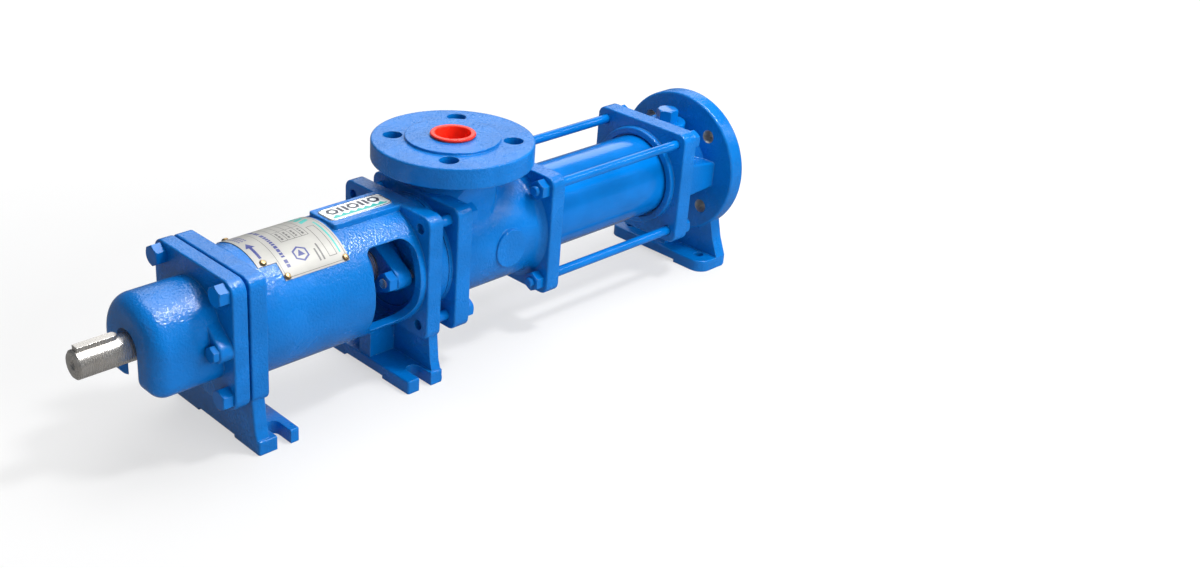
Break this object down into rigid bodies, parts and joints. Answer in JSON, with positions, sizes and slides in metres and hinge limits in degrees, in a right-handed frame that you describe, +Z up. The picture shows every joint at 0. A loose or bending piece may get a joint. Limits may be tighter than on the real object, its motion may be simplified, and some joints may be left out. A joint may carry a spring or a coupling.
{
  "type": "progressive cavity pump",
  "caption": "Progressive cavity pump: bearing pedestal with drive shaft, packed gland, top suction flange, stator tube between tie rods and end discharge flange on a foot.",
  "frame": {"origin": "middle of the overall length and width, at the plane the feet stand on", "axes": "+X along the pump axis from the drive end to the discharge flange, +Z up, +Y to the far side in the picture"},
  "size_m": [0.7322, 0.15, 0.2078],
  "materials": {
    "blue_paint": "gloss enamel over cast iron",
    "bright_steel": "turned and polished",
    "bearing_steel": "ground",
    "cage_brass": "machined",
    "screw_brass": "dull plated",
    "rotor_chrome": "hard chrome",
    "black_rubber": "moulded",
    "gasket_fibre": "compressed fibre",
    "packing_braid": "braided",
    "plate_metal": "satin with printed fields",
    "badge_print": "printed gloss film",
    "red_plastic": "moulded"
  },
  "bodies": {
    "housing": {"pedestal": "blue_paint", "drive_end_cover": "blue_paint", "cover_corner_bolts": "blue_paint", "cover_ear_bolts": "blue_paint", "front_bearing_outer_ring": "bearing_steel", "rear_bearing_outer_ring": "bearing_steel", "bearing_spacer": "bright_steel", "front_lip_seal": "black_rubber", "rear_lip_seal": "black_rubber", "nameplate": "plate_metal", "nameplate_screws": "screw_brass", "badge_plate": "badge_print", "stuffing_box": "blue_paint", "body_gasket": "gasket_fibre", "packing_rings": "packing_braid", "lantern_ring": "cage_brass", "gland_studs": "bright_steel", "suction_housing": "blue_paint", "body_bolts": "blue_paint", "drain_plug": "blue_paint", "stator_tube": "blue_paint", "stator_rubber": "black_rubber", "stator_seals": "black_rubber", "discharge_housing": "blue_paint", "top_gauge_plug": "blue_paint", "tie_rods": "blue_paint", "suction_rod_nuts": "blue_paint", "discharge_rod_nuts": "blue_paint"},
    "drive_shaft": {"drive_shaft": "bright_steel", "shaft_key": "bright_steel", "front_bearing_inner_ring": "bearing_steel", "rear_bearing_inner_ring": "bearing_steel", "bearing_locknut": "bright_steel", "thrower_ring": "blue_paint", "shaft_joint_head": "bright_steel", "shaft_joint_pin": "bright_steel"},
    "joint_boots": {"shaft_joint_boot": "black_rubber", "rotor_joint_boot": "black_rubber"},
    "coupling_rod": {"coupling_rod": "bright_steel"},
    "rotor": {"rotor": "rotor_chrome", "rotor_joint_pin": "bright_steel"},
    "front_bearing_cage": {"front_bearing_cage": "cage_brass", "front_bearing_balls": "bearing_steel"},
    "rear_bearing_cage": {"rear_bearing_cage": "cage_brass", "rear_bearing_balls": "bearing_steel"},
    "gland": {"gland_follower": "blue_paint", "gland_nuts": "blue_paint"},
    "suction_port_plug": {"suction_port_plug": "red_plastic"}
  },
  "joints": [
    {"name": "shaft_spin", "type": "hinge", "parent": "housing", "child": "drive_shaft", "pos_m": [0, 0, 0.1027], "axis": [1, 0, 0], "continuous": true},
    {"name": "boot_orbit", "type": "hinge", "parent": "housing", "child": "joint_boots", "pos_m": [0, 0, 0.1027], "axis": [1, 0, 0], "continuous": true},
    {"name": "rod_spin", "type": "hinge", "parent": "joint_boots", "child": "coupling_rod", "pos_m": [0.0215, 0, 0.1027], "axis": [0.9981, 0.0615, 0], "continuous": true},
    {"name": "rotor_spin", "type": "hinge", "parent": "joint_boots", "child": "rotor", "pos_m": [0.0945, 0.0045, 0.1027], "axis": [1, 0, 0], "continuous": true},
    {"name": "front_cage_roll", "type": "hinge", "parent": "housing", "child": "front_bearing_cage", "pos_m": [-0.2315, 0, 0.1027], "axis": [1, 0, 0], "continuous": true},
    {"name": "rear_cage_roll", "type": "hinge", "parent": "housing", "child": "rear_bearing_cage", "pos_m": [-0.144, 0, 0.1027], "axis": [1, 0, 0], "continuous": true},
    {"name": "gland_slide", "type": "slide", "parent": "housing", "child": "gland", "axis": [-1, 0, 0], "range_m": [0, 0.004]},
    {"name": "port_plug_pull", "type": "slide", "parent": "housing", "child": "suction_port_plug", "axis": [0, 0, 1], "range_m": [0, 0.04]}
  ],
  "couplings": [
    {"joint": "boot_orbit", "follows": "shaft_spin", "ratio": -1},
    {"joint": "rod_spin", "follows": "shaft_spin", "ratio": 2},
    {"joint": "rotor_spin", "follows": "shaft_spin", "ratio": 2},
    {"joint": "front_cage_roll", "follows": "shaft_spin", "ratio": 0.37941},
    {"joint": "rear_cage_roll", "follows": "shaft_spin", "ratio": 0.37941}
  ]
}
